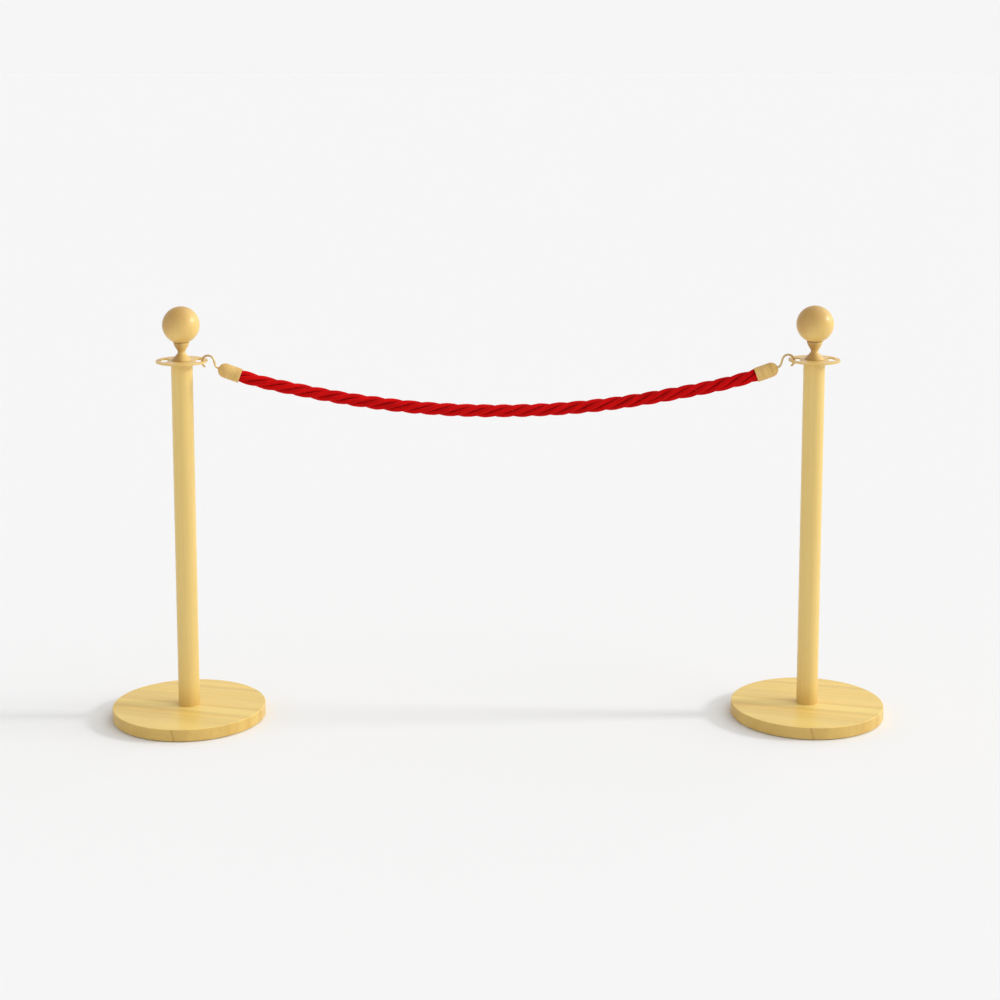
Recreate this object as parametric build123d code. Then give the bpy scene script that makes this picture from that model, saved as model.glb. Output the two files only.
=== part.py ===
from build123d import *
import os
from math import cos, radians, sin, sqrt, tan

# A rope barrier: two free-standing turned wooden posts joined by one twisted velvet rope.
# Each rope end is glued and screwed into a domed wooden ferrule, and a brass wire hook bolted
# through each ferrule hangs in a kidney slot of the ring plate that turns on top of each post.
# Frame: millimetres, +X along the rope, +Z up, origin on the floor midway between the posts.
# Every left-hand piece is made once about the left post's own axis and mirrored for the right.

# --- driving dimensions, mm ---
POST_SPACING = 1470.0

BASE_R = 180.0
BASE_TOP = 30.0
BASE_BOTTOM = 2.0
BASE_EDGE_R = 2.0

BALLAST_R = 154.0
BALLAST_T = 8.0
BALLAST_HOLE_R = 20.0
RECESS_R = 155.0
PAD_T = 3.0
BALLAST_SCREW_R = 2.5
BALLAST_SCREW_HEAD_R = 5.0
BALLAST_SCREW_L = 20.0
BALLAST_SCREW_CIRCLE_R = 110.0

POLE_R = 25.0
POLE_SOCKET = 8.0
CLAMP_BOLT_R = 5.0
CLAMP_BOLT_FLATS = 17.0
CLAMP_HEAD_T = 6.4
CLAMP_SHANK_L = 40.0
CLAMP_HOLE_R = 5.5
CLAMP_WASHER_R = 15.0
CLAMP_WASHER_T = 2.0
FOOT_INSERT_R = 8.0
FOOT_INSERT_L = 30.0

RING_R = 60.0
RING_BOTTOM = 855.0
RING_T = 4.0
RING_EDGE_R = 0.8
RING_PLAY = 0.2
SLOT_CENTRE_R = 41.5
SLOT_WIDTH = 17.0
SLOT_HALF_ANGLE = 22.0
BOSS_R = 10.0
RUNNING_GAP = 0.05
TOP_INSERT_R = 7.0
TOP_INSERT_L = 32.0
STUD_HOLE_SPARE = 4.0

STUD_R = 4.0
STUD_ENGAGED = 13.5
STUD_IN_BALL = 22.0
FINIAL_WASHER_R = 20.4
FINIAL_WASHER_T = 1.0
NECK_FOOT_R = 22.7
NECK_SKIRT_DROP = 0.9
NECK_SKIRT_GAP = 0.2
NECK_RIM_R = 18.4
NECK_RIM_CHAMFER = 0.6
NECK_H = 42.2
BALL_R = 43.3
BALL_SEAT_INSET = 0.4

# The neck's outside, as (radius, height above its washer): a hollow cone, a waist, then a cup.
NECK_PROFILE = [
    (21.9, 1.2),
    (15.4, 8.4),
    (10.3, 14.4),
    (8.7, 18.4),
    (10.5, 23.6),
    (13.9, 29.0),
    (17.0, 35.0),
]

MOUTH_FROM_POST = 135.5
MOUTH_Z = 821.5
FERRULE_TILT = 20.0
FERRULE_R = 17.0
FERRULE_L = 54.0
FERRULE_LIP_R = 1.0
SOCKET_DEPTH = 30.0
SOCKET_GAP = 0.2
NUT_CHAMBER_R = 8.0
NUT_CHAMBER_DEPTH = 8.0

WIRE_R = 2.5
HOOK_EYE_R = 14.0
HOOK_LEG_ANGLE = 15.0
HOOK_TIP_ANGLE = 235.0
HOOK_BEARING_ANGLE = 17.0
HOOK_NECK_R = 12.0
HOOK_SHANK_IN = 23.0
HOOK_CLEARANCE = 0.3
HOOK_WASHER_R = 7.0
HOOK_WASHER_T = 1.2
HOOK_NUT_FLATS = 8.0
HOOK_NUT_T = 4.0

SCREW_R = 1.75
SCREW_HEAD_R = 3.5
SCREW_L = 14.0
SCREW_FROM_MOUTH = 14.0
SCREW_SUNK = 0.5
SCREW_HEAD_CUT = 2.0

ROPE_R = 15.0
ARC_SHARE = 0.45

# Cutting tools reach this far past the face that they open.
OVERCUT = 1.0

# The rope's route in its own vertical plane, as (x, z): corner points between the two ferrules.
ROPE_ROUTE = [
    (-575.0, 812.583),
    (-480.0, 791.0),
    (-307.5, 758.4),
    (-117.5, 739.0),
    (80.0, 737.1),
    (272.0, 753.6),
    (470.0, 788.4),
    (575.0, 812.583),
]

# --- sizes that follow from them ---
HALF_SPACING = POST_SPACING / 2
RECESS_TOP = PAD_T + BALLAST_T
POLE_BOTTOM = BASE_TOP - POLE_SOCKET
POLE_TOP = RING_BOTTOM - RING_PLAY
RING_TOP = RING_BOTTOM + RING_T
BOSS_TOP = RING_TOP + RING_PLAY
FOOT_Z = BOSS_TOP + FINIAL_WASHER_T
RIM_Z = FOOT_Z + NECK_H
TILT = radians(FERRULE_TILT)
MOUTH_X = MOUTH_FROM_POST - HALF_SPACING


def turned(outline):
    """A solid of revolution about Z from a closed outline of (radius, height) points."""
    return revolve(make_face(Plane.XZ * Polyline(outline, close=True)), Axis.Z)


def rod(radius, low, high):
    """An upright cylinder between two heights."""
    return Pos(0, 0, low) * Cylinder(radius, high - low, align=(Align.CENTER, Align.CENTER, Align.MIN))


def hexagon(flats, low, high):
    """An upright hexagonal bar between two heights, given across its flats."""
    corner_r = flats / 2 / cos(radians(30))
    return Pos(0, 0, low) * extrude(RegularPolygon(corner_r, 6), high - low)


def wood_screw(shank_r, head_r, length):
    """A countersunk wood screw: its flat head at the origin, its point along +Z."""
    head_t = head_r - shank_r
    return turned([(0, 0), (head_r, 0), (shank_r, head_t), (shank_r, length - 2 * shank_r), (0, length)])


# --- post ---
def ballast_screw_places():
    return PolarLocations(BALLAST_SCREW_CIRCLE_R, 4, start_angle=45)


def ballast_screws():
    screw = Pos(0, 0, PAD_T) * wood_screw(BALLAST_SCREW_R, BALLAST_SCREW_HEAD_R, BALLAST_SCREW_L)
    return [place * screw for place in ballast_screw_places()]


def base_disc():
    disc = rod(BASE_R, BASE_BOTTOM, BASE_TOP)
    disc = fillet(disc.edges().filter_by(GeomType.CIRCLE), BASE_EDGE_R)
    disc -= rod(RECESS_R, 0, RECESS_TOP)
    disc -= rod(POLE_R, POLE_BOTTOM, BASE_TOP + OVERCUT)
    disc -= rod(CLAMP_HOLE_R, 0, BASE_TOP)
    for screw in ballast_screws():
        disc -= screw
    return disc


def ballast_plate():
    plate = rod(BALLAST_R, PAD_T, RECESS_TOP) - rod(BALLAST_HOLE_R, 0, BASE_TOP)
    for screw in ballast_screws():
        plate -= screw
    return plate


def floor_pad():
    return rod(BALLAST_R, 0, PAD_T) - rod(BALLAST_HOLE_R, -OVERCUT, BASE_TOP)


def clamp_washer():
    return rod(CLAMP_WASHER_R, RECESS_TOP - CLAMP_WASHER_T, RECESS_TOP) - rod(CLAMP_BOLT_R, 0, BASE_TOP)


def clamp_bolt():
    head_top = RECESS_TOP - CLAMP_WASHER_T
    head = hexagon(CLAMP_BOLT_FLATS, head_top - CLAMP_HEAD_T, head_top)
    return head + rod(CLAMP_BOLT_R, head_top, head_top + CLAMP_SHANK_L)


def foot_insert():
    insert = rod(FOOT_INSERT_R, POLE_BOTTOM, POLE_BOTTOM + FOOT_INSERT_L)
    return insert - rod(CLAMP_BOLT_R, 0, RECESS_TOP - CLAMP_WASHER_T + CLAMP_SHANK_L)


def pole():
    bar = rod(POLE_R, POLE_BOTTOM, POLE_TOP)
    bar -= rod(FOOT_INSERT_R, POLE_BOTTOM - OVERCUT, POLE_BOTTOM + FOOT_INSERT_L)
    return bar - rod(TOP_INSERT_R, POLE_TOP - TOP_INSERT_L, POLE_TOP + OVERCUT)


def top_insert():
    """Threaded insert whose boss stands through the ring plate, so the plate turns when clamped."""
    insert = rod(TOP_INSERT_R, POLE_TOP - TOP_INSERT_L, POLE_TOP)
    insert += rod(BOSS_R - RUNNING_GAP, POLE_TOP, BOSS_TOP)
    return insert - rod(STUD_R + RUNNING_GAP, BOSS_TOP - STUD_ENGAGED - STUD_HOLE_SPARE, BOSS_TOP + OVERCUT)


def ring_plate():
    plate = rod(RING_R, RING_BOTTOM, RING_TOP)
    plate = fillet(plate.edges().filter_by(GeomType.CIRCLE), RING_EDGE_R)
    plate -= rod(BOSS_R, RING_BOTTOM - OVERCUT, RING_TOP + OVERCUT)
    for middle in (0, 180):
        line = CenterArc((0, 0), SLOT_CENTRE_R, middle - SLOT_HALF_ANGLE, 2 * SLOT_HALF_ANGLE)
        plate -= Pos(0, 0, RING_BOTTOM - OVERCUT) * extrude(SlotArc(line, SLOT_WIDTH), RING_T + 2 * OVERCUT)
    return plate


# --- finial ---
def finial_washer():
    return rod(FINIAL_WASHER_R, BOSS_TOP, FOOT_Z) - rod(STUD_R + RUNNING_GAP, BOSS_TOP - OVERCUT, FOOT_Z + OVERCUT)


def finial_neck():
    """A turned neck: the skirt under its foot hides the washer, and its cup carries the ball."""
    recess_r = FINIAL_WASHER_R + NECK_SKIRT_GAP
    rim_low = (NECK_RIM_R, NECK_H - NECK_RIM_CHAMFER)
    rim_high = (NECK_RIM_R - NECK_RIM_CHAMFER, NECK_H)
    outline = [
        Polyline([(STUD_R, NECK_H), (STUD_R, 0), (recess_r, 0), (recess_r, -NECK_SKIRT_DROP)]),
        Polyline([(recess_r, -NECK_SKIRT_DROP), (NECK_FOOT_R, -NECK_SKIRT_DROP), (NECK_FOOT_R, 0), NECK_PROFILE[0]]),
        Spline(*NECK_PROFILE, rim_low),
        Polyline([rim_low, rim_high, (STUD_R, NECK_H)]),
    ]
    face = make_face([Plane.XZ * edge for line in outline for edge in line.edges()])
    return Pos(0, 0, FOOT_Z) * revolve(face, Axis.Z)


def finial_ball():
    seat_r = NECK_RIM_R - BALL_SEAT_INSET
    centre_z = RIM_Z + sqrt(BALL_R**2 - seat_r**2)
    ball = Pos(0, 0, centre_z) * Sphere(BALL_R)
    ball -= rod(BALL_R, RIM_Z - BALL_R, RIM_Z)
    return ball - rod(STUD_R, RIM_Z - OVERCUT, RIM_Z + STUD_IN_BALL)


def finial_stud():
    return rod(STUD_R, BOSS_TOP - STUD_ENGAGED, RIM_Z + STUD_IN_BALL)


# --- rope end: ferrule, hook and fastenings ---
# A ferrule is made upright, its mouth at the origin and its dome towards +Z, then laid along the
# rope's end direction.
def laid(part):
    frame = Plane(
        origin=(MOUTH_FROM_POST, 0, MOUTH_Z),
        x_dir=(0, 1, 0),
        z_dir=(-cos(TILT), 0, sin(TILT)),
    )
    return frame.location * part


def ferrule_screw_upright():
    frame = Plane(origin=(0, FERRULE_R - SCREW_SUNK, SCREW_FROM_MOUTH), x_dir=(1, 0, 0), z_dir=(0, -1, 0))
    return frame.location * wood_screw(SCREW_R, SCREW_HEAD_R, SCREW_L)


def ferrule_upright():
    shoulder = FERRULE_L - FERRULE_R
    body = rod(FERRULE_R, 0, shoulder)
    body = fillet(body.faces().sort_by(Axis.Z)[0].edges(), FERRULE_LIP_R)
    body += Pos(0, 0, shoulder) * (Sphere(FERRULE_R) - rod(FERRULE_R, -FERRULE_R, 0))
    body -= rod(ROPE_R + SOCKET_GAP, -OVERCUT, SOCKET_DEPTH)
    body -= rod(NUT_CHAMBER_R, 0, SOCKET_DEPTH + NUT_CHAMBER_DEPTH)
    body -= rod(WIRE_R, 0, FERRULE_L + OVERCUT)
    head = Pos(0, FERRULE_R - SCREW_SUNK, SCREW_FROM_MOUTH) * Rot(-90, 0, 0) * rod(SCREW_HEAD_R, 0, SCREW_HEAD_CUT)
    return body - ferrule_screw_upright() - head


def hook_washer_upright():
    top = SOCKET_DEPTH + NUT_CHAMBER_DEPTH
    return rod(HOOK_WASHER_R, top - HOOK_WASHER_T, top) - rod(WIRE_R, 0, FERRULE_L)


def hook_nut_upright():
    top = SOCKET_DEPTH + NUT_CHAMBER_DEPTH - HOOK_WASHER_T
    return hexagon(HOOK_NUT_FLATS, top - HOOK_NUT_T, top) - rod(WIRE_R, 0, FERRULE_L)


def hook():
    """Bent wire: a shank through the ferrule's dome, a swept neck and an open eye over the rim bar.

    The eye's inside bears on the upper inner corner of the ring plate's rim bar, a little above the
    level of the eye's centre, because the rope pulls more sideways than down.
    """
    inside_r = HOOK_EYE_R - WIRE_R - HOOK_CLEARANCE
    bearing = radians(HOOK_BEARING_ANGLE)
    eye_x = SLOT_CENTRE_R + SLOT_WIDTH / 2 + inside_r * cos(bearing)
    eye_z = RING_TOP - inside_r * sin(bearing)
    leg = radians(HOOK_LEG_ANGLE)
    leg_x = eye_x + HOOK_EYE_R * cos(leg)
    leg_z = eye_z + HOOK_EYE_R * sin(leg)
    # The neck's corner is where the leg's tangent meets the ferrule's axis.
    drop_z = leg_z - MOUTH_Z + (leg_x - MOUTH_FROM_POST) * tan(TILT)
    fall = drop_z / (cos(leg) - sin(leg) * tan(TILT))
    corner = (leg_x + fall * sin(leg), leg_z - fall * cos(leg))
    depth = FERRULE_L - HOOK_SHANK_IN
    shank_end = (MOUTH_FROM_POST - depth * cos(TILT), MOUTH_Z + depth * sin(TILT))
    neck = FilletPolyline([shank_end, corner, (leg_x, leg_z)], radius=HOOK_NECK_R)
    eye = CenterArc((eye_x, eye_z), HOOK_EYE_R, HOOK_LEG_ANGLE, HOOK_TIP_ANGLE - HOOK_LEG_ANGLE)
    path = Plane.XZ * (Curve() + [neck, eye])
    wire = sweep((path ^ 0) * Circle(WIRE_R), path=path)
    tip = radians(HOOK_TIP_ANGLE)
    return wire + Pos(eye_x + HOOK_EYE_R * cos(tip), 0, eye_z + HOOK_EYE_R * sin(tip)) * Sphere(WIRE_R)


# --- rope ---
def rope_corner_radii(points):
    """Each corner's arc radius: a share of the shorter run over the tangent of half the turn."""
    radii = []
    for before, at, after in zip(points, points[1:], points[2:]):
        arriving = Vector(*at) - Vector(*before)
        leaving = Vector(*after) - Vector(*at)
        shorter = min(arriving.length, leaving.length)
        radii.append(ARC_SHARE * shorter / tan(radians(arriving.get_angle(leaving)) / 2))
    return radii


def rope():
    end_x = MOUTH_X - SOCKET_DEPTH * cos(TILT)
    end_z = MOUTH_Z + SOCKET_DEPTH * sin(TILT)
    points = [(end_x, end_z), *ROPE_ROUTE, (-end_x, end_z)]
    radii = rope_corner_radii(points)
    path = Plane.XZ * FilletPolyline(points, radius=radii)
    print("rope arc radii, mm:", [round(radius) for radius in radii])
    print(f"rope length, mm: {path.length:.1f}")
    return sweep((path ^ 0) * Circle(ROPE_R), path=path)


# --- the whole barrier ---
POST_PIECES = {
    "base_disc": base_disc,
    "ballast_plate": ballast_plate,
    "ballast_screws": ballast_screws,
    "floor_pad": floor_pad,
    "clamp_bolt": clamp_bolt,
    "clamp_washer": clamp_washer,
    "foot_insert": foot_insert,
    "pole": pole,
    "top_insert": top_insert,
    "ring_plate": ring_plate,
    "finial_washer": finial_washer,
    "finial_neck": finial_neck,
    "finial_ball": finial_ball,
    "finial_stud": finial_stud,
    "ferrule": lambda: laid(ferrule_upright()),
    "ferrule_screw": lambda: laid(ferrule_screw_upright()),
    "hook": hook,
    "hook_washer": lambda: laid(hook_washer_upright()),
    "hook_nut": lambda: laid(hook_nut_upright()),
}


def save(name, solids):
    shape = solids[0] if len(solids) == 1 else Compound(children=solids)
    export_step(shape, f"parts/{name}.step")


def main():
    os.makedirs("parts", exist_ok=True)
    ferrule_screws = []
    for name, make in POST_PIECES.items():
        made = make()
        pieces = made if isinstance(made, list) else [made]
        left = [Pos(-HALF_SPACING, 0, 0) * piece for piece in pieces]
        right = [mirror(piece, about=Plane.YZ) for piece in left]
        save(f"left_{name}", left)
        save(f"right_{name}", right)
        if name == "ferrule_screw":
            ferrule_screws = left + right
    cord = rope()
    for screw in ferrule_screws:
        cord -= screw
    save("rope", [cord])


main()
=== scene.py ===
from math import cos, pi, radians, sin, sqrt, tau
import bpy
from mathutils import Euler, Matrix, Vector, noise


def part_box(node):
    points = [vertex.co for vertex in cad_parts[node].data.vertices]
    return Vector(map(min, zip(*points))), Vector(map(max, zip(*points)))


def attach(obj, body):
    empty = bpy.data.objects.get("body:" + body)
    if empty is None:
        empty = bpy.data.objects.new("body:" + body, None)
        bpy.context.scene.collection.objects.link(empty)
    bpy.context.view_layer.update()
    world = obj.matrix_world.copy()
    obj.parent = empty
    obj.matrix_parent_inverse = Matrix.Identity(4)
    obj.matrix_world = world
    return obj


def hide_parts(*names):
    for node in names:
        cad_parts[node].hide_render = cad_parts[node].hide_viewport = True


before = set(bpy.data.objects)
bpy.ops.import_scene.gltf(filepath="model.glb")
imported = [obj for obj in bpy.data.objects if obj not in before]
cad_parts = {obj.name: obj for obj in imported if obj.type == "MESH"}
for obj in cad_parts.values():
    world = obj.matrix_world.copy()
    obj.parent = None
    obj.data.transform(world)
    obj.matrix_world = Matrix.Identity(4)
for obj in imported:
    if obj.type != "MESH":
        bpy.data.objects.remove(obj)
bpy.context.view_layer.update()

# Metres throughout, in the CAD model's frame: +X along the rope, +Z up, the floor at 0.
POLE_LOW, POLE_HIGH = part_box("right_pole")
POST_X = (POLE_LOW.x + POLE_HIGH.x) / 2
BASE_LOW, BASE_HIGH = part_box("right_base_disc")
BASE_R = (BASE_HIGH.x - BASE_LOW.x) / 2
SIDES = {"left": -1, "right": 1}
FERRULE_TILT = radians(20)

# --- rope: its route repeats the points in part.py, and a mouth is where it enters a ferrule ---
MOUTH_X = 0.5995
MOUTH_Z = 0.8215
ROPE_ROUTE = [
    (-0.6277, 0.8318),
    (-0.5750, 0.8126),
    (-0.4800, 0.7910),
    (-0.3075, 0.7584),
    (-0.1175, 0.7390),
    (0.0800, 0.7371),
    (0.2720, 0.7536),
    (0.4700, 0.7884),
    (0.5750, 0.8126),
    (0.6277, 0.8318),
]

# A strand's outside lies on a circle of STRAND_R, whose middle winds round the rope at STRAND_HELIX_R.
STRANDS = 4
LAY_LENGTH = 0.1718
STRAND_PHASE = radians(0.7)
STRAND_HELIX_R = 0.0089
STRAND_R = 0.0063
STRAND_INNER_R = 0.0004
STRAND_FILL = 0.985
CREASE_DEPTH = 0.0005
CREASES_PER_METRE = 16
CREASES_PER_RADIAN = 4.5
CREASE_SHIFT = 7.3
FINE_CREASES = 2.3
RING_STEP = 0.002
SECTION_POINTS = 28

# --- wood: tones go from dark to light, and scales are in features per metre, grain first ---
GRAIN_TURN = radians(-16)
FIGURE_SCALE = (1.3, 26, 26)
PORE_SCALE = (25, 900, 900)
STREAK_DEPTH = 0.11
PORE_DEPTH = 0.07
BASE_TONES = ((0.83, 0.572, 0.160), (0.88, 0.632, 0.192), (0.91, 0.675, 0.215))
POLE_TONES = ((0.75, 0.530, 0.170), (0.77, 0.550, 0.180), (0.80, 0.580, 0.195))
RING_TONES = ((0.70, 0.470, 0.140), (0.74, 0.500, 0.155), (0.78, 0.530, 0.170))
TURNED_TONES = ((0.72, 0.475, 0.142), (0.78, 0.530, 0.165), (0.84, 0.590, 0.198))
FERRULE_TONES = ((0.66, 0.415, 0.135), (0.72, 0.470, 0.160), (0.78, 0.530, 0.195))

# Each base's glued boards: where a tint lies across the disc, from 0 to 1, and the tint.
BOARD_TINTS = [
    (0.00, (1.0, 1.0, 1.0)),
    (0.22, (0.97, 0.96, 0.94)),
    (0.31, (0.95, 0.89, 0.76)),
    (0.36, (0.93, 0.87, 0.74)),
    (0.41, (1.03, 1.06, 1.02)),
    (0.480, (1.02, 1.03, 1.02)),
    (0.497, (0.86, 0.80, 0.76)),
    (0.51, (0.98, 0.97, 0.96)),
    (0.55, (1.04, 1.03, 1.08)),
    (0.62, (1.0, 0.99, 1.0)),
    (0.66, (0.95, 0.92, 0.89)),
    (0.69, (1.01, 1.01, 1.0)),
    (0.82, (0.99, 0.98, 0.97)),
    (0.845, (0.90, 0.83, 0.79)),
    (0.88, (1.02, 1.01, 1.03)),
]
BOARD_WANDER = 0.016

# The wood's other tints. A pair of lengths says where a tint begins and where it is full.
EDGE_TINT = (0.78, 0.73, 0.70)
EDGE_JOINT_X = -0.010
EDGE_JOINT_SLANT = 0.28
EDGE_JOINT_HALF = (0.0034, 0.0008)
EDGE_JOINT_TINT = (0.80, 0.74, 0.66)
# Painted shade at the pole's foot, where it stands on the base.
POLE_FOOT_SHADE_HEIGHTS = (0.085, 0.025)
POLE_FOOT_SHADE_TINT = (0.86, 0.79, 0.69)
# Painted shade on the turned pieces' side away from the lamps: up and to the left on each ball, on the left
# of each neck.
PAINTED_SHADE_TINT = (0.70, 0.60, 0.54)
SEAM_HALF = (0.0019, 0.0007)
SEAM_TINT = (0.62, 0.52, 0.42)

# --- metal pieces, on both sides ---
BRASS_PARTS = ("hook", "hook_washer", "hook_nut", "ferrule_screw")
ZINC_PARTS = ("clamp_bolt", "clamp_washer", "ballast_screws", "finial_stud", "foot_insert", "top_insert")

# --- light: where each lamp shines from, its strength, and its angle across in degrees ---
HORIZON = 0.92
CEILING = 0.42
DIM_FROM, DIM_TO = radians(18), radians(50)
KEY_LAMP = ((0.9135, 0.0, 0.4067), 1.3, 9)
SOFTBOX = ((0.70, 0.10, 0.70), 1.30, 80)
FLOOR_GREY = 0.90
FLOOR_REACH = 40

# --- camera ---
CAMERA_PLACE = (-0.038, -4.773, 1.703)
CAMERA_DOWN = radians(8.388)
CAMERA_TURN = radians(-0.499)
SENSOR_MM = 36
LENS_MM = 75.08
LENS_SHIFT = -0.2


# --- small helpers for node graphs ---
class Graph:
    """A material's node graph, built with short calls. Sockets and plain values both serve as inputs."""

    def __init__(self, name):
        self.material = bpy.data.materials.new(name)
        self.material.use_nodes = True
        self.nodes = self.material.node_tree.nodes
        self.links = self.material.node_tree.links
        self.shader = self.nodes["Principled BSDF"]

    def put(self, socket, value):
        if isinstance(value, bpy.types.NodeSocket):
            self.links.new(value, socket)
        elif isinstance(value, tuple) and len(value) == 3 and len(socket.default_value) == 4:
            socket.default_value = (*value, 1.0)
        else:
            socket.default_value = value

    def math(self, operation, *values):
        made = self.nodes.new("ShaderNodeMath")
        made.operation = operation
        for socket, value in zip(made.inputs, values):
            self.put(socket, value)
        return made.outputs["Value"]

    def vector(self, operation, *values):
        made = self.nodes.new("ShaderNodeVectorMath")
        made.operation = operation
        for socket, value in zip(made.inputs, values):
            self.put(socket, value)
        return made.outputs["Value" if operation == "DOT_PRODUCT" else "Vector"]

    def place(self, turn=(0, 0, 0), origin=(0, 0, 0)):
        """Object coordinates about an origin, turned so that their X runs along the grain."""
        where = self.nodes.new("ShaderNodeTexCoord")
        made = self.nodes.new("ShaderNodeMapping")
        made.vector_type = "TEXTURE"
        self.put(made.inputs["Location"], origin)
        self.put(made.inputs["Rotation"], turn)
        self.links.new(where.outputs["Object"], made.inputs["Vector"])
        return made.outputs["Vector"]

    def noise(self, place, scale, detail=3.0, roughness=0.5, shift=(0, 0, 0)):
        made = self.nodes.new("ShaderNodeTexNoise")
        stretched = self.vector("ADD", self.vector("MULTIPLY", place, scale), shift)
        self.put(made.inputs["Vector"], stretched)
        self.put(made.inputs["Scale"], 1.0)
        self.put(made.inputs["Detail"], detail)
        self.put(made.inputs["Roughness"], roughness)
        return made.outputs["Fac"]

    def ramp(self, factor, stops):
        stops = list(stops)
        made = self.nodes.new("ShaderNodeValToRGB")
        while len(made.color_ramp.elements) < len(stops):
            made.color_ramp.elements.new(0.5)
        for element, (position, colour) in zip(made.color_ramp.elements, stops):
            element.position = position
            element.color = (*colour, 1.0) if isinstance(colour, tuple) else (colour, colour, colour, 1.0)
        self.put(made.inputs["Fac"], factor)
        return made.outputs["Color"]

    def tones(self, factor, colours):
        """Three tones spread over the middle of a noise's range."""
        return self.ramp(factor, zip((0.32, 0.50, 0.68), colours))

    def between(self, value, start, end):
        """0 at start, 1 at end, and smooth from one to the other."""
        made = self.nodes.new("ShaderNodeMapRange")
        made.interpolation_type = "SMOOTHSTEP"
        for socket, number in zip(made.inputs, (value, start, end, 0.0, 1.0)):
            self.put(socket, number)
        return made.outputs["Result"]

    def gap(self, first, second):
        return self.math("ABSOLUTE", self.math("SUBTRACT", first, second))

    def mix(self, blend, factor, first, second):
        made = self.nodes.new("ShaderNodeMix")
        made.data_type = "RGBA"
        made.blend_type = blend
        self.put(made.inputs[0], factor)
        self.put(made.inputs[6], first)
        self.put(made.inputs[7], second)
        return made.outputs[2]

    def times(self, first, second, factor=1.0):
        return self.mix("MULTIPLY", factor, first, second)

    def bump(self, height, strength, distance):
        made = self.nodes.new("ShaderNodeBump")
        self.put(made.inputs["Strength"], strength)
        self.put(made.inputs["Distance"], distance)
        self.put(made.inputs["Height"], height)
        self.put(self.shader.inputs["Normal"], made.outputs["Normal"])

    def split(self, vector):
        made = self.nodes.new("ShaderNodeSeparateXYZ")
        self.put(made.inputs["Vector"], vector)
        return made.outputs["X"], made.outputs["Y"], made.outputs["Z"]

    def height(self):
        _, _, z = self.split(self.place())
        return z

    def finish(self, **values):
        """Sets the shader's inputs, whose names are written with _ for a space."""
        for name, value in values.items():
            self.put(self.shader.inputs[name.replace("_", " ")], value)
        return self.material


# --- wood ---
def wood_grain(graph, place, colours, streak_scale, contrast):
    """Long soft figure, narrower streaks and fine pores, all stretched along the grain."""
    figure = graph.noise(place, FIGURE_SCALE, 2.0)
    colour = graph.tones(figure, colours)
    streaks = graph.noise(place, streak_scale, 4.0, 0.6, (3.1, 0, 0))
    colour = graph.times(colour, graph.ramp(streaks, [(0.30, 1 - STREAK_DEPTH * contrast), (0.60, 1.0)]))
    pores = graph.noise(place, PORE_SCALE, 3.0, 0.6)
    colour = graph.times(colour, graph.ramp(pores, [(0.32, 1 - PORE_DEPTH * contrast), (0.50, 1.0)]))
    return colour, streaks, pores


def lacquer(graph, colour, streaks, pores, gloss=1.0):
    """Satin lacquer that lets a little of the pores' relief through."""
    rough = graph.ramp(streaks, [(0.3, 0.34), (0.7, 0.44)])
    graph.bump(pores, 0.2, 0.0001)
    return graph.finish(
        Base_Color=colour,
        Roughness=rough,
        Specular_IOR_Level=0.35 * gloss,
        Coat_Weight=0.12 * gloss,
        Coat_Roughness=0.14,
    )


def base_wood(name, post):
    """Glued boards on the disc's top, and an edge band that meets in one slanting joint."""
    graph = Graph(name)
    place = graph.place((0, 0, GRAIN_TURN), post)
    flowing = graph.vector("MULTIPLY", place, (1, 1, 0.15))
    colour, streaks, pores = wood_grain(graph, flowing, BASE_TONES, (2.4, 90, 90), 0.9)

    _, across, _ = graph.split(flowing)
    wander = graph.math("SUBTRACT", graph.noise(flowing, (4, 7, 7), 2.0), 0.5)
    across = graph.math("ADD", across, graph.math("MULTIPLY", wander, BOARD_WANDER))
    board = graph.math("MULTIPLY", graph.math("ADD", across, BASE_R), 1 / (2 * BASE_R))
    strength = graph.noise(flowing, (5, 9, 9), 1.0, 0.5, (0.4, 2.0, 0))
    strength = graph.ramp(strength, [(0.35, 0.45), (0.65, 1.0)])
    colour = graph.times(colour, graph.ramp(board, BOARD_TINTS), strength)

    normal = graph.nodes.new("ShaderNodeNewGeometry").outputs["Normal"]
    _, _, upward = graph.split(normal)
    edge = graph.between(graph.math("ABSOLUTE", upward), 0.75, 0.35)
    colour = graph.times(colour, EDGE_TINT, edge)

    x, y, z = graph.split(graph.place(origin=post))
    slanted = graph.math("ADD", x, graph.math("MULTIPLY", z, EDGE_JOINT_SLANT))
    joint = graph.between(graph.gap(slanted, EDGE_JOINT_X), *EDGE_JOINT_HALF)
    front_joint = graph.math("MULTIPLY", joint, graph.math("LESS_THAN", y, 0.0))
    colour = graph.times(colour, EDGE_JOINT_TINT, graph.math("MULTIPLY", front_joint, edge))
    return lacquer(graph, colour, streaks, pores, 0.6)


def pole_wood(name, post):
    """Straight grain, with painted shade making it darker and warmer at the foot."""
    graph = Graph(name)
    place = graph.place((0, radians(-90), 0), post)
    colour, streaks, pores = wood_grain(graph, place, POLE_TONES, (2.2, 120, 120), 0.45)
    # Painted shade: darker and warmer towards the foot.
    painted_foot_shade = graph.between(graph.height(), *POLE_FOOT_SHADE_HEIGHTS)
    colour = graph.times(colour, POLE_FOOT_SHADE_TINT, painted_foot_shade)
    return lacquer(graph, colour, streaks, pores)


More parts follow.
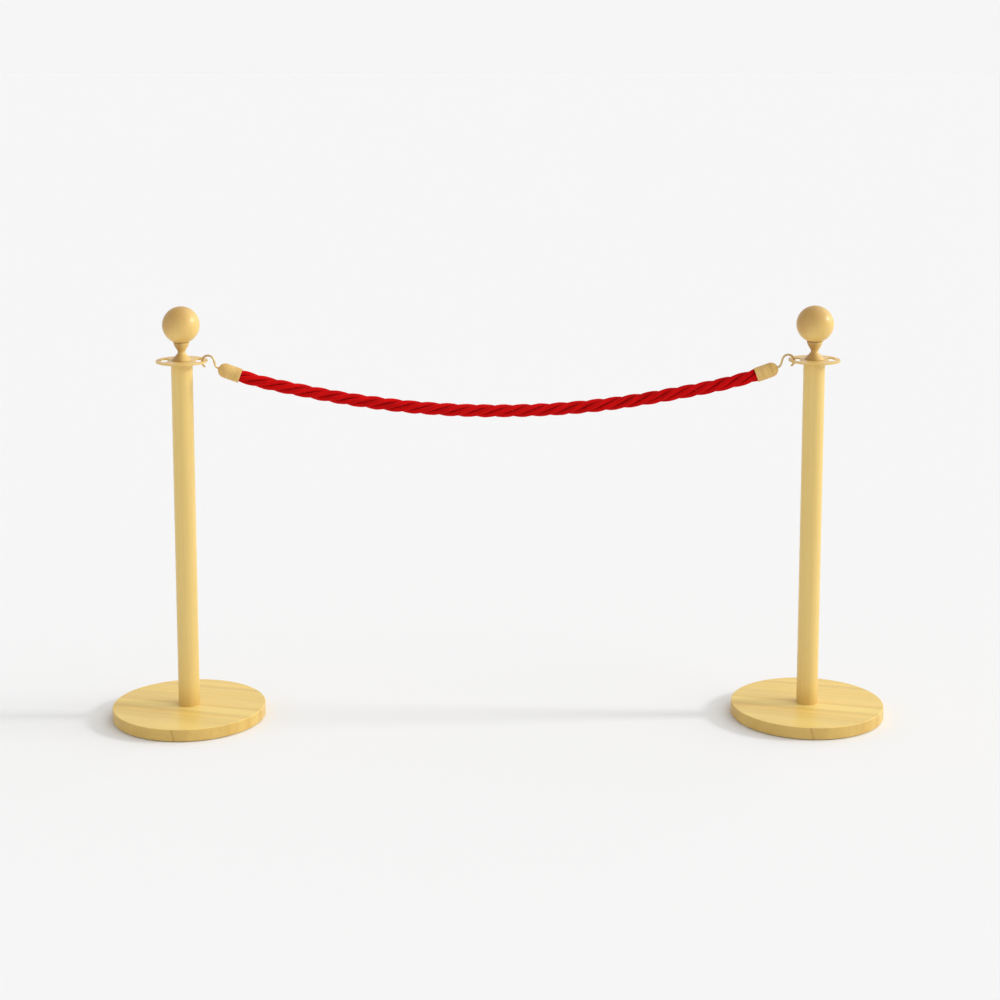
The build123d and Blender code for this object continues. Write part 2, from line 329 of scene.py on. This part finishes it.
def turned_wood(name, post, tint, seam_z, shade_side, shade_centre, shade_reach):
    """Wood turned on a lathe, with painted shade darkening the side away from the lamps, and darker in the
    seam under the ball.
    """
    graph = Graph(name)
    place = graph.place((0, radians(-90), 0), post)
    colours = [tuple(tint * part for part in shade) for shade in TURNED_TONES]
    colour, streaks, pores = wood_grain(graph, place, colours, (9, 70, 70), 0.4)

    # Painted shade: the wood darkens across the piece towards its side away from the lamps, the edge of it
    # wandering with the streaks.
    off = graph.vector("SUBTRACT", graph.place(), shade_centre)
    towards_shade = graph.vector("DOT_PRODUCT", off, tuple(Vector(shade_side).normalized()))
    shade_depth = graph.math("DIVIDE", towards_shade, shade_reach)
    wander = graph.math("MULTIPLY", graph.math("SUBTRACT", streaks, 0.5), 0.25)
    dark = graph.between(graph.math("ADD", shade_depth, wander), -0.2, 0.95)
    colour = graph.times(colour, PAINTED_SHADE_TINT, dark)

    seam = graph.between(graph.gap(graph.height(), seam_z), *SEAM_HALF)
    colour = graph.times(colour, SEAM_TINT, seam)
    return lacquer(graph, colour, streaks, pores)


def ring_wood(name, post):
    graph = Graph(name)
    place = graph.place((0, 0, GRAIN_TURN), post)
    colour, streaks, pores = wood_grain(graph, place, RING_TONES, (6, 140, 140), 0.5)
    return lacquer(graph, colour, streaks, pores)


def ferrule_wood(name, sign):
    """Turned across the grain, so fine tool rings run round the axis."""
    graph = Graph(name)
    place = graph.place((0, -sign * FERRULE_TILT, 0), (sign * MOUTH_X, 0, MOUTH_Z))
    rings = graph.noise(place, (420, 22, 22), 3.0, 0.6)
    figure = graph.noise(place, (130, 30, 30), 3.0)
    colour = graph.tones(figure, FERRULE_TONES)
    colour = graph.times(colour, graph.ramp(rings, [(0.32, 0.84), (0.52, 1.0)]))
    return lacquer(graph, colour, rings, rings, 0.3)


# --- metal, rubber, fibre and velvet ---
def metal(name, colour, roughness):
    graph = Graph(name)
    mottle = graph.noise(graph.place(), (500, 500, 500), 4.0)
    dull = tuple(0.80 * part for part in colour)
    return graph.finish(
        Base_Color=graph.ramp(mottle, [(0.3, dull), (0.7, colour)]),
        Roughness=graph.ramp(mottle, [(0.3, roughness * 0.8), (0.7, roughness * 1.25)]),
        Metallic=1.0,
    )


def rubber(name):
    graph = Graph(name)
    speckle = graph.noise(graph.place(), (900, 900, 900), 3.0)
    graph.bump(speckle, 0.4, 0.0003)
    return graph.finish(Base_Color=graph.ramp(speckle, [(0.3, 0.015), (0.7, 0.035)]), Roughness=0.85)


def fibre(name):
    graph = Graph(name)
    mottle = graph.noise(graph.place(), (300, 300, 900), 4.0)
    colour = graph.ramp(mottle, [(0.3, (0.42, 0.27, 0.11)), (0.7, (0.54, 0.35, 0.15))])
    return graph.finish(Base_Color=colour, Roughness=0.6)


def velvet(name):
    """Red velvet, with painted shade: bright on each strand's crown, deep in the grooves, and darker in the
    hollows of the creases along the strand.
    """
    graph = Graph(name)
    lay = graph.nodes.new("ShaderNodeAttribute")
    lay.attribute_name = "lay"
    shade_depth = graph.nodes.new("ShaderNodeAttribute")
    shade_depth.attribute_name = "groove_shade"
    # Painted shade: bright on each strand's crown, falling to deep red in the grooves between the strands.
    colour = graph.ramp(shade_depth.outputs["Fac"], [
        (0.0, (0.64, 0.0030, 0.0034)),
        (0.68, (0.60, 0.0024, 0.0028)),
        (0.92, (0.17, 0.0003, 0.0007)),
    ])
    creases = graph.noise(lay.outputs["Vector"], (22, 650, 40), 3.0, 0.6)
    # Painted shade in the hollows of the creases, the same creases that the bump below raises and lowers.
    colour = graph.times(colour, graph.ramp(creases, [(0.34, (0.70, 0.55, 0.55)), (0.50, (1.0, 1.0, 1.0))]))
    brushed = graph.noise(lay.outputs["Vector"], (35, 120, 40), 2.0)
    colour = graph.times(colour, graph.ramp(brushed, [(0.35, (0.86, 0.8, 0.8)), (0.6, (1.0, 1.0, 1.0))]))
    pile = graph.noise(graph.place(), (2600, 2600, 2600), 2.0)
    graph.bump(graph.math("ADD", graph.math("MULTIPLY", creases, 2.0), pile), 0.5, 0.0003)
    return graph.finish(
        Base_Color=colour,
        Roughness=0.9,
        Specular_IOR_Level=0.08,
        Sheen_Weight=0.06,
        Sheen_Roughness=0.5,
        Sheen_Tint=(1.0, 0.10, 0.10),
    )


# --- rope ---
def rope_line():
    """Points along the rope's smooth line, read from the NURBS spline through its route."""
    curve = bpy.data.curves.new("rope_route", "CURVE")
    curve.dimensions = "3D"
    curve.resolution_u = 40
    spline = curve.splines.new("NURBS")
    spline.points.add(len(ROPE_ROUTE) - 1)
    for point, (x, z) in zip(spline.points, ROPE_ROUTE):
        point.co = (x, 0, z, 1)
    spline.order_u = 3
    spline.use_endpoint_u = True
    holder = bpy.data.objects.new("rope_route", curve)
    line = bpy.data.meshes.new_from_object(holder)
    points = [v.co.copy() for v in line.vertices]
    bpy.data.objects.remove(holder)
    return points


def line_length(points):
    return sum((b - a).length for a, b in zip(points, points[1:]))


def even_steps(points, step):
    """Places, directions and distances at even steps along a line of points."""
    total = line_length(points)
    last = total - 1e-9  # just short of the end, so that a run of the line is left to stand on
    count = round(total / step)
    steps, index, walked = [], 0, 0.0
    for i in range(count + 1):
        want = min(total * i / count, last)
        while walked + (points[index + 1] - points[index]).length < want:
            walked += (points[index + 1] - points[index]).length
            index += 1
        run = points[index + 1] - points[index]
        steps.append((points[index] + run * ((want - walked) / run.length), run.normalized(), want))
    return steps


def strand_radius(turn, along, strand):
    """The rope's radius at an angle from a strand's crown: a round strand, creased but at its sides."""
    inside = max(0.0, STRAND_R**2 - (STRAND_HELIX_R * sin(turn)) ** 2)
    crown = STRAND_HELIX_R * cos(turn) + sqrt(inside)
    crease_at = Vector((along * CREASES_PER_METRE, turn * CREASES_PER_RADIAN, strand * CREASE_SHIFT))
    crease = CREASE_DEPTH * (noise.noise(crease_at) + noise.noise(crease_at * FINE_CREASES) / 2)
    return crown + crease * cos(turn * STRANDS / 2)


def make_strand(strand, steps):
    """A closed strand: its round outside, and flat sides that lie along its neighbours."""
    half = pi / STRANDS
    # Per point, how far it lies from the strand's crown towards a groove, for the velvet's painted shade.
    verts, lay, groove_shade, faces = [], [], [], []
    ring = SECTION_POINTS + 1  # the inner edge's point, then the outside's
    side = Vector((0, -1, 0))
    for place, forward, along in steps:
        up = side.cross(forward).normalized()
        middle = STRAND_PHASE + strand * tau / STRANDS - along * tau / LAY_LENGTH
        verts.append(place + (up * cos(middle) + side * sin(middle)) * STRAND_INNER_R)
        lay.append((along, 0.0, strand))
        groove_shade.append(1.0)
        for i in range(SECTION_POINTS):
            share = 2 * i / (SECTION_POINTS - 1) - 1
            turn = half * sin(share * pi / 2)
            angle = middle + turn * STRAND_FILL
            verts.append(place + (up * cos(angle) + side * sin(angle)) * strand_radius(turn, along, strand))
            lay.append((along, share * STRAND_R, strand))
            groove_shade.append(abs(share))
    for k in range(len(steps) - 1):
        for i in range(ring):
            a, b = k * ring + i, k * ring + (i + 1) % ring
            faces.append((a, b, b + ring, a + ring))
    faces.append(tuple(range(ring - 1, -1, -1)))
    faces.append(tuple(range((len(steps) - 1) * ring, len(steps) * ring)))
    return verts, lay, groove_shade, faces


def make_rope(material):
    line = rope_line()
    steps = even_steps(line, RING_STEP)
    verts, lay, groove_shade, faces = [], [], [], []
    for strand in range(STRANDS):
        strand_verts, strand_lay, strand_groove_shade, strand_faces = make_strand(strand, steps)
        start = len(verts)
        verts += strand_verts
        lay += strand_lay
        groove_shade += strand_groove_shade
        faces += [tuple(i + start for i in face) for face in strand_faces]
    mesh = bpy.data.meshes.new("velvet_rope")
    mesh.from_pydata([tuple(v) for v in verts], [], faces)
    # Both layers are made before either is filled, because making one moves the others' data.
    mesh.attributes.new("lay", "FLOAT_VECTOR", "POINT")
    mesh.attributes.new("groove_shade", "FLOAT", "POINT")
    mesh.attributes["lay"].data.foreach_set("vector", [number for where in lay for number in where])
    mesh.attributes["groove_shade"].data.foreach_set("value", groove_shade)
    mesh.shade_smooth()
    mesh.materials.append(material)
    rope = bpy.data.objects.new("velvet_rope", mesh)
    bpy.context.scene.collection.objects.link(rope)
    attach(rope, "rope_assembly")
    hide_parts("rope")


# --- materials on the CAD pieces ---
def paint(node, material):
    """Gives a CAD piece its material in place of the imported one."""
    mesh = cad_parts[node].data
    mesh.materials.clear()
    mesh.materials.append(material)


def paint_all():
    brass = metal("hook_brass", (0.72, 0.51, 0.25), 0.34)
    zinc = metal("zinc_steel", (0.62, 0.63, 0.65), 0.35)
    iron = metal("ballast_steel", (0.10, 0.10, 0.11), 0.55)
    pad = rubber("pad_rubber")
    washer = fibre("washer_fibre")
    for side, sign in SIDES.items():
        post = (sign * POST_X, 0, 0)
        ball_low, ball_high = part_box(f"{side}_finial_ball")
        ball_at = (sign * POST_X, 0, ball_high.z - (ball_high.x - ball_low.x) / 2)
        neck_at = (sign * POST_X, 0, ball_low.z)
        looks = {
            "base_disc": base_wood(f"{side}_base_wood", post),
            "pole": pole_wood(f"{side}_pole_wood", post),
            "ring_plate": ring_wood(f"{side}_ring_wood", post),
            "finial_neck": turned_wood(
                f"{side}_neck_wood",
                post,
                tint=0.88,
                seam_z=ball_low.z,
                # painted shade on the neck's left side
                shade_side=(-1, -0.35, 0),
                shade_centre=neck_at,
                shade_reach=0.011,
            ),
            "finial_ball": turned_wood(
                f"{side}_ball_wood",
                post,
                tint=1.0,
                seam_z=ball_low.z,
                # painted shade up and to the left on the ball
                shade_side=(-0.62, -0.30, 0.72),
                shade_centre=ball_at,
                shade_reach=0.043,
            ),
            "ferrule": ferrule_wood(f"{side}_ferrule_wood", sign),
            "ballast_plate": iron,
            "floor_pad": pad,
            "finial_washer": washer,
        }
        for part in BRASS_PARTS:
            looks[part] = brass
        for part in ZINC_PARTS:
            looks[part] = zinc
        for part, material in looks.items():
            paint(f"{side}_{part}", material)


# --- floor, light and camera ---
def make_floor():
    corners = [(x * FLOOR_REACH, y * FLOOR_REACH, 0) for x, y in ((-1, -1), (1, -1), (1, 1), (-1, 1))]
    mesh = bpy.data.meshes.new("floor")
    mesh.from_pydata(corners, [], [(0, 1, 2, 3)])
    floor = bpy.data.objects.new("floor", mesh)
    bpy.context.scene.collection.objects.link(floor)
    graph = Graph("floor_pale")
    shade = (FLOOR_GREY, FLOOR_GREY, FLOOR_GREY)
    mesh.materials.append(graph.finish(Base_Color=shade, Roughness=1.0, Specular_IOR_Level=0.0))


def sun_light(name, towards, strength, spread):
    data = bpy.data.lights.new(name, "SUN")
    data.energy = strength
    data.angle = radians(spread)
    light = bpy.data.objects.new(name, data)
    light.rotation_euler = Vector(towards).to_track_quat("Z", "Y").to_euler()
    bpy.context.scene.collection.objects.link(light)


def make_light():
    """A pale studio: bright all round the horizon, a dimmer ceiling, and soft light from the right."""
    world = bpy.data.worlds.new("studio")
    bpy.context.scene.world = world
    world.use_nodes = True
    nodes, links = world.node_tree.nodes, world.node_tree.links
    split = nodes.new("ShaderNodeSeparateXYZ")
    links.new(nodes.new("ShaderNodeTexCoord").outputs["Generated"], split.inputs["Vector"])
    level = nodes.new("ShaderNodeMapRange")
    level.interpolation_type = "SMOOTHSTEP"
    level.inputs["From Min"].default_value = sin(DIM_FROM)
    level.inputs["From Max"].default_value = sin(DIM_TO)
    level.inputs["To Min"].default_value = HORIZON
    level.inputs["To Max"].default_value = CEILING
    links.new(split.outputs["Z"], level.inputs["Value"])
    links.new(level.outputs["Result"], nodes["Background"].inputs["Strength"])
    nodes["Background"].inputs["Color"].default_value = (1, 1, 1, 1)
    sun_light("key", *KEY_LAMP)
    sun_light("softbox", *SOFTBOX)


def make_camera():
    data = bpy.data.cameras.new("camera")
    data.sensor_width = SENSOR_MM
    data.lens = LENS_MM
    data.shift_y = LENS_SHIFT
    camera = bpy.data.objects.new("camera", data)
    camera.location = CAMERA_PLACE
    camera.rotation_euler = Euler((pi / 2 - CAMERA_DOWN, 0, CAMERA_TURN))
    bpy.context.scene.collection.objects.link(camera)
    bpy.context.scene.camera = camera


bpy.context.scene.view_settings.view_transform = "Standard"
make_camera()
make_rope(velvet("rope_velvet"))
paint_all()
make_floor()
make_light()
